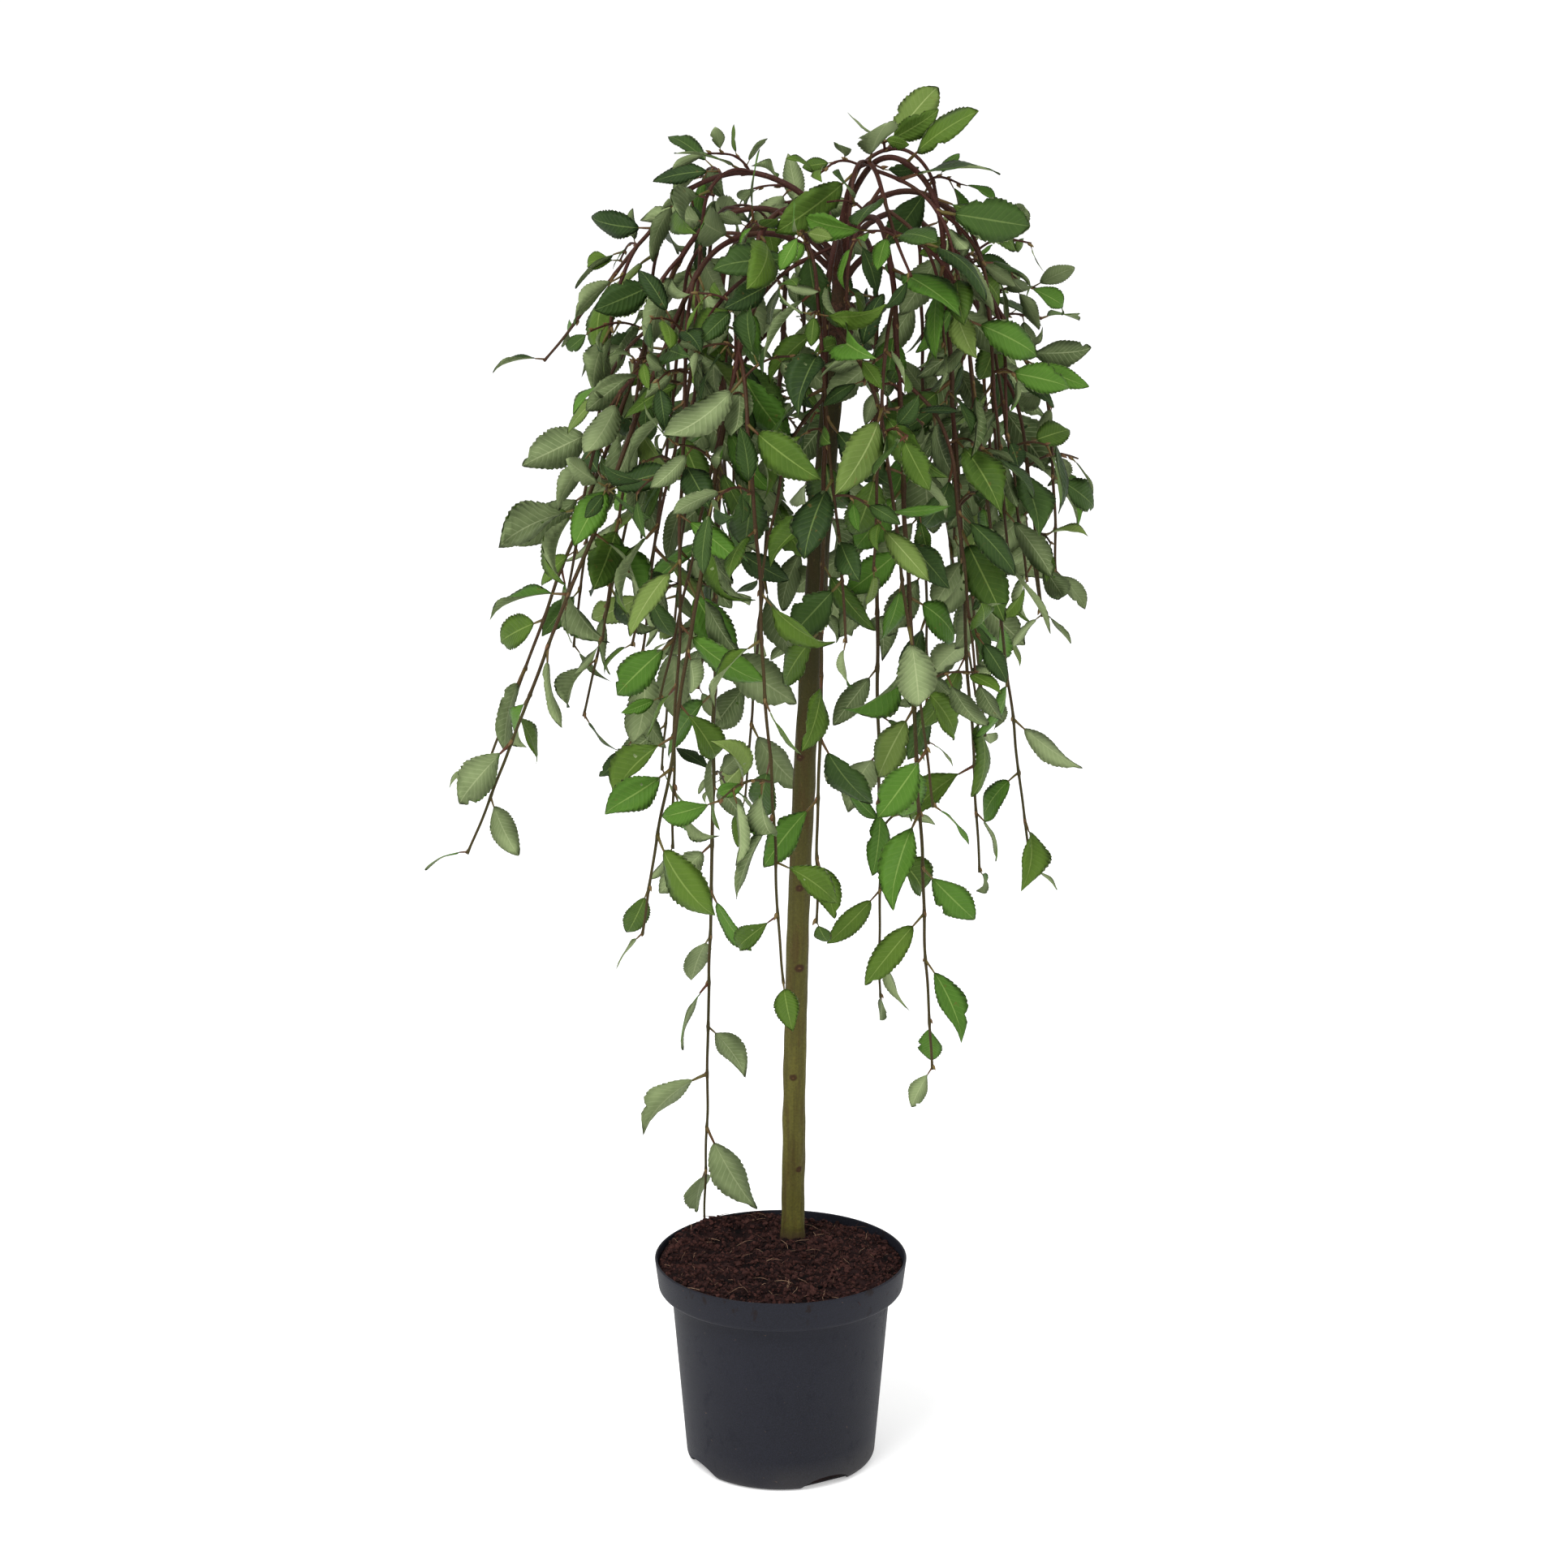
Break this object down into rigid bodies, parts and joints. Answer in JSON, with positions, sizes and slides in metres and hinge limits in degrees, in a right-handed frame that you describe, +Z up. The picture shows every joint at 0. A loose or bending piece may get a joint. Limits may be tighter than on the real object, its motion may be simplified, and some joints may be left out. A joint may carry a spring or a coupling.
{
  "type": "potted weeping willow tree",
  "caption": "Weeping goat willow standard: a straight stem in a round nursery pot, grafted at head height, with arching boughs and curtains of hanging leafy shoots.",
  "frame": {"origin": "centre of the pot's flat underside, on the ground", "axes": "+Z straight up, -Y towards the viewer's side, +X to the right; the stem stands at the back of the pot and leans a little to the right"},
  "size_m": [0.585, 0.5707, 1.2427],
  "materials": {
    "pot_plastic": "matt, slightly scuffed and dusty",
    "compost": "moist, crumbly, with fine fibres",
    "bark": "smooth young bark, satin",
    "shoots": "smooth thin bark, satin",
    "foliage": "leaves with a faint sheen above and matt grey-green below"
  },
  "bodies": {
    "root": {"pot": "pot_plastic", "compost": "compost", "stem": "bark", "bough_back": "shoots", "bough_back_left": "shoots", "bough_back_right": "shoots", "bough_front": "shoots", "bough_front_left": "shoots", "bough_front_right": "shoots", "bough_left": "shoots", "bough_left_back": "shoots", "bough_left_front": "shoots", "bough_left_high": "shoots", "bough_right": "shoots", "bough_right_front": "shoots", "bough_right_high": "shoots", "bough_top": "shoots", "curtain_back": "foliage", "curtain_back_left": "foliage", "curtain_back_right": "foliage", "curtain_front": "foliage", "curtain_front_left": "foliage", "curtain_front_right": "foliage", "curtain_left": "foliage", "curtain_left_back": "foliage", "curtain_left_front": "foliage", "curtain_left_high": "foliage", "curtain_right": "foliage", "curtain_right_front": "foliage", "curtain_right_high": "foliage", "curtain_top": "foliage"}
  },
  "joints": []
}
